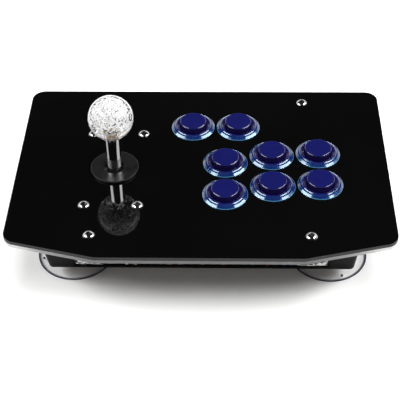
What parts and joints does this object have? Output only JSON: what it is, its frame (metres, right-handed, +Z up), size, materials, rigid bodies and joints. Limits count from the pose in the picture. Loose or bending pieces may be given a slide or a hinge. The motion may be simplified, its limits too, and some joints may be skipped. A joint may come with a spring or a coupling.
{
  "type": "arcade stick",
  "caption": "Arcade controller: ball-top stick and translucent push buttons on a gloss acrylic panel over a sloping moulded base with suction feet.",
  "frame": {"origin": "on the table under the middle of the panel's box", "axes": "+X to the player's right along the panel, +Y away from the player, +Z up"},
  "size_m": [0.286, 0.195, 0.1261],
  "materials": {
    "black_acrylic": "mirror-gloss black acrylic sheet",
    "clear_acrylic": "clear polished acrylic",
    "black_base": "black moulded plastic, satin",
    "printed_trim": "printed trim under a gloss film",
    "black_rubber": "soft black rubber",
    "bright_screws": "bright plated steel",
    "brass": "turned brass",
    "zinc_plate": "zinc-plated sheet steel",
    "black_moulding": "black moulded plastic",
    "white_moulding": "natural white moulded plastic",
    "spring_steel": "bright steel",
    "bright_tube": "polished plated tube",
    "crystal_ball": "clear cast resin with bubbles",
    "satin_black": "satin black plastic",
    "green_board": "green circuit board",
    "blue_clear": "see-through deep blue moulding",
    "blue_plunger": "indigo moulding, fine satin top",
    "clear_vinyl": "soft clear vinyl"
  },
  "bodies": {
    "root": {"top_panel": "black_acrylic", "under_panel": "clear_acrylic", "base_tub": "black_base", "front_trim": "printed_trim", "cable_grommet": "black_rubber", "panel_screws": "bright_screws", "panel_inserts": "brass", "stick_screws": "bright_screws", "stick_nuts": "bright_screws", "stick_plate": "zinc_plate", "stick_housing": "black_moulding", "spring_seat": "black_moulding", "stick_spring": "spring_steel", "dust_washer": "satin_black", "stick_board": "green_board", "restrictor_gate": "clear_acrylic", "button_nuts": "blue_clear", "encoder_board": "green_board", "controller_chip": "black_moulding", "wire_headers": "white_moulding", "board_screws": "spring_steel", "suction_foot_front_left": "clear_vinyl", "suction_foot_front_right": "clear_vinyl", "suction_foot_back_left": "clear_vinyl", "suction_foot_back_right": "clear_vinyl", "stick_switch_right": "black_moulding", "stick_switch_back": "black_moulding", "stick_switch_left": "black_moulding", "stick_switch_front": "black_moulding", "button_body_1": "blue_clear", "button_switch_1": "black_moulding", "button_body_2": "blue_clear", "button_switch_2": "black_moulding", "button_body_3": "blue_clear", "button_switch_3": "black_moulding", "button_body_4": "blue_clear", "button_switch_4": "black_moulding", "button_body_5": "blue_clear", "button_switch_5": "black_moulding", "button_body_6": "blue_clear", "button_switch_6": "black_moulding", "button_body_7": "blue_clear", "button_switch_7": "black_moulding", "button_body_8": "blue_clear", "button_switch_8": "black_moulding"},
    "pivot": {"pivot_ball": "white_moulding"},
    "stick": {"stick_shaft": "spring_steel", "shaft_cover": "bright_tube", "ball_bush": "brass", "ball_top": "crystal_ball", "stick_actuator": "white_moulding", "stick_clip": "spring_steel"},
    "plunger_1": {"button_plunger_1": "blue_plunger"},
    "plunger_2": {"button_plunger_2": "blue_plunger"},
    "plunger_3": {"button_plunger_3": "blue_plunger"},
    "plunger_4": {"button_plunger_4": "blue_plunger"},
    "plunger_5": {"button_plunger_5": "blue_plunger"},
    "plunger_6": {"button_plunger_6": "blue_plunger"},
    "plunger_7": {"button_plunger_7": "blue_plunger"},
    "plunger_8": {"button_plunger_8": "blue_plunger"}
  },
  "joints": [
    {"name": "stick_fore_aft", "type": "hinge", "parent": "root", "child": "pivot", "pos_m": [-0.0673, -0.0009, 0.046], "axis": [1, 0, 0], "range_deg": [-7, 7], "stiffness_Nm_per_rad": 0.6, "deforming": ["stick_spring"]},
    {"name": "stick_left_right", "type": "hinge", "parent": "pivot", "child": "stick", "pos_m": [-0.0673, -0.0009, 0.046], "axis": [0, 1, 0], "range_deg": [-7, 7], "stiffness_Nm_per_rad": 0.6},
    {"name": "button_1_press", "type": "slide", "parent": "root", "child": "plunger_1", "axis": [0, 0, -1], "range_m": [0, 0.0033], "stiffness_N_per_m": 200, "springref_m": -0.002},
    {"name": "button_2_press", "type": "slide", "parent": "root", "child": "plunger_2", "axis": [0, 0, -1], "range_m": [0, 0.0033], "stiffness_N_per_m": 200, "springref_m": -0.002},
    {"name": "button_3_press", "type": "slide", "parent": "root", "child": "plunger_3", "axis": [0, 0, -1], "range_m": [0, 0.0033], "stiffness_N_per_m": 200, "springref_m": -0.002},
    {"name": "button_4_press", "type": "slide", "parent": "root", "child": "plunger_4", "axis": [0, 0, -1], "range_m": [0, 0.0033], "stiffness_N_per_m": 200, "springref_m": -0.002},
    {"name": "button_5_press", "type": "slide", "parent": "root", "child": "plunger_5", "axis": [0, 0, -1], "range_m": [0, 0.0033], "stiffness_N_per_m": 200, "springref_m": -0.002},
    {"name": "button_6_press", "type": "slide", "parent": "root", "child": "plunger_6", "axis": [0, 0, -1], "range_m": [0, 0.0033], "stiffness_N_per_m": 200, "springref_m": -0.002},
    {"name": "button_7_press", "type": "slide", "parent": "root", "child": "plunger_7", "axis": [0, 0, -1], "range_m": [0, 0.0033], "stiffness_N_per_m": 200, "springref_m": -0.002},
    {"name": "button_8_press", "type": "slide", "parent": "root", "child": "plunger_8", "axis": [0, 0, -1], "range_m": [0, 0.0033], "stiffness_N_per_m": 200, "springref_m": -0.002}
  ]
}
